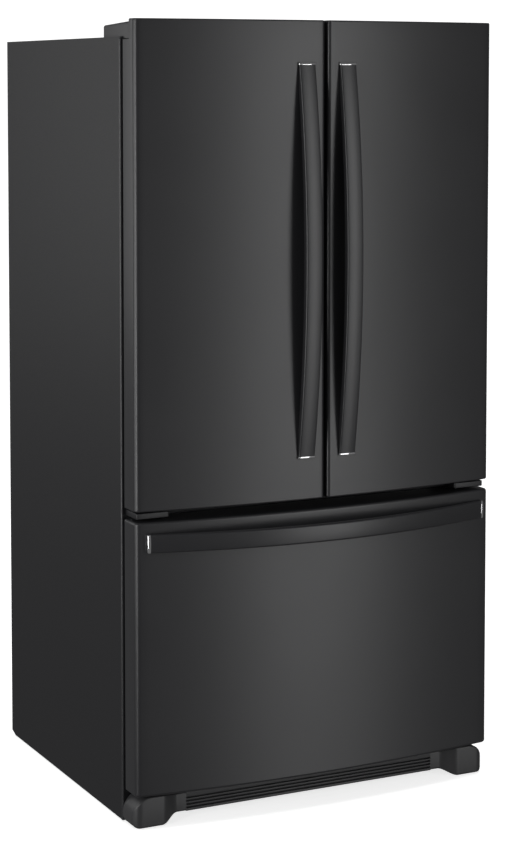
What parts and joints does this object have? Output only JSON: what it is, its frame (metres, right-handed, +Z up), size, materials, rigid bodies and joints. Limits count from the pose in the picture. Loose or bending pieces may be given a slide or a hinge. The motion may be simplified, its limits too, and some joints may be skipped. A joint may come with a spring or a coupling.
{
  "type": "french door refrigerator",
  "caption": "Bowed-front black refrigerator with side-by-side hinged doors above a sliding freezer drawer, arched bar handles, shelves, bins, crispers and baskets.",
  "frame": {"origin": "middle of the footprint, on the floor", "axes": "+Z up, front faces -Y, +X to the right as seen from the front"},
  "size_m": [0.905, 0.875, 1.7815],
  "materials": {
    "door_paint": "semi-gloss black enamel",
    "cabinet_paint": "fine-textured black paint",
    "zinc_steel": "zinc-plated steel",
    "white_liner": "white vacuum-formed polystyrene",
    "white_moulding": "white moulded plastic",
    "black_plastic": "fine-textured black plastic",
    "clear_plastic": "clear moulded plastic",
    "shelf_glass": "tempered glass",
    "gasket": "soft black vinyl",
    "foam": "rigid polyurethane foam",
    "compressor_enamel": "black enamel",
    "condenser": "black-coated aluminium",
    "nylon": "moulded nylon",
    "fibreboard": "pressed board"
  },
  "bodies": {
    "cabinet": {"cabinet_shell": "cabinet_paint", "insulation_foam": "foam", "back_panel": "zinc_steel", "fresh_food_liner": "white_liner", "freezer_liner": "white_liner", "centre_rail": "cabinet_paint", "base_frame": "zinc_steel", "compressor": "compressor_enamel", "condenser_coil": "condenser", "rear_cover": "fibreboard", "cord_inlet": "gasket", "top_hinge_left": "zinc_steel", "top_hinge_right": "zinc_steel", "hinge_cover_left": "black_plastic", "hinge_cover_right": "black_plastic", "centre_hinge_left": "cabinet_paint", "centre_hinge_right": "cabinet_paint", "base_grille": "black_plastic", "foot_cover_left": "black_plastic", "foot_cover_right": "black_plastic", "air_duct": "white_moulding", "control_panel": "white_moulding", "shelf_upper_left": "shelf_glass", "shelf_upper_right": "shelf_glass", "shelf_lower": "shelf_glass", "crisper_shelf": "shelf_glass", "evaporator_cover": "white_moulding", "slide_rail_left": "zinc_steel", "slide_rail_right": "zinc_steel"},
    "left_door": {"left_door_shell": "door_paint", "left_door_liner": "white_liner", "left_door_gasket": "gasket", "left_door_handle": "door_paint", "left_door_bin_lower": "clear_plastic", "left_door_bin_middle": "clear_plastic", "left_door_bin_upper": "clear_plastic"},
    "right_door": {"right_door_shell": "door_paint", "right_door_liner": "white_liner", "right_door_gasket": "gasket", "right_door_handle": "door_paint", "right_door_bin_lower": "clear_plastic", "right_door_bin_middle": "clear_plastic", "right_door_bin_upper": "clear_plastic"},
    "mullion_flap": {"mullion_flap": "black_plastic"},
    "freezer_drawer": {"drawer_shell": "door_paint", "drawer_liner": "white_liner", "drawer_gasket": "gasket", "drawer_handle": "door_paint", "drawer_frame": "zinc_steel", "lower_basket": "white_moulding"},
    "middle_slides": {"slide_middle_left": "zinc_steel", "slide_middle_right": "zinc_steel"},
    "upper_basket": {"upper_basket": "white_moulding"},
    "crisper_left": {"crisper_left": "clear_plastic"},
    "crisper_right": {"crisper_right": "clear_plastic"},
    "condenser_fan": {"condenser_fan": "black_plastic"},
    "rear_roller_left": {"rear_roller_left": "nylon"},
    "rear_roller_right": {"rear_roller_right": "nylon"},
    "levelling_foot_left": {"levelling_foot_left": "zinc_steel"},
    "levelling_foot_right": {"levelling_foot_right": "zinc_steel"}
  },
  "joints": [
    {"name": "left_door_hinge", "type": "hinge", "parent": "cabinet", "child": "left_door", "pos_m": [-0.4365, -0.3075, 0.7095], "axis": [0, 0, -1], "range_deg": [0, 115]},
    {"name": "right_door_hinge", "type": "hinge", "parent": "cabinet", "child": "right_door", "pos_m": [0.4365, -0.3075, 0.7095], "axis": [0, 0, 1], "range_deg": [0, 115]},
    {"name": "mullion_flap_fold", "type": "hinge", "parent": "left_door", "child": "mullion_flap", "pos_m": [-0.026, -0.269, 0.7425], "axis": [0, 0, -1], "range_deg": [0, 90]},
    {"name": "freezer_drawer_slide", "type": "slide", "parent": "cabinet", "child": "freezer_drawer", "axis": [0, -1, 0], "range_m": [0, 0.42]},
    {"name": "middle_slides_slide", "type": "slide", "parent": "cabinet", "child": "middle_slides", "axis": [0, -1, 0], "range_m": [0, 0.21]},
    {"name": "upper_basket_slide", "type": "slide", "parent": "cabinet", "child": "upper_basket", "axis": [0, -1, 0], "range_m": [0, 0.315]},
    {"name": "crisper_left_slide", "type": "slide", "parent": "cabinet", "child": "crisper_left", "axis": [0, -1, 0], "range_m": [0, 0.2]},
    {"name": "crisper_right_slide", "type": "slide", "parent": "cabinet", "child": "crisper_right", "axis": [0, -1, 0], "range_m": [0, 0.2]},
    {"name": "condenser_fan_spin", "type": "hinge", "parent": "cabinet", "child": "condenser_fan", "pos_m": [0.055, 0.3325, 0.14], "axis": [1, 0, 0], "continuous": true},
    {"name": "rear_roller_left_spin", "type": "hinge", "parent": "cabinet", "child": "rear_roller_left", "pos_m": [-0.4, 0.3625, 0.022], "axis": [1, 0, 0], "continuous": true},
    {"name": "rear_roller_right_spin", "type": "hinge", "parent": "cabinet", "child": "rear_roller_right", "pos_m": [0.4, 0.3625, 0.022], "axis": [1, 0, 0], "continuous": true},
    {"name": "levelling_foot_left_turn", "type": "hinge", "parent": "cabinet", "child": "levelling_foot_left", "pos_m": [-0.405, -0.2325, 0], "axis": [0, 0, 1], "continuous": true},
    {"name": "levelling_foot_right_turn", "type": "hinge", "parent": "cabinet", "child": "levelling_foot_right", "pos_m": [0.405, -0.2325, 0], "axis": [0, 0, 1], "continuous": true}
  ],
  "couplings": [
    {"joint": "middle_slides_slide", "follows": "freezer_drawer_slide", "ratio": 0.5},
    {"joint": "upper_basket_slide", "follows": "freezer_drawer_slide", "ratio": 0.75},
    {"joint": "crisper_left_slide", "follows": "left_door_hinge", "m_per_rad": 0.0996},
    {"joint": "crisper_right_slide", "follows": "right_door_hinge", "m_per_rad": 0.0996}
  ]
}
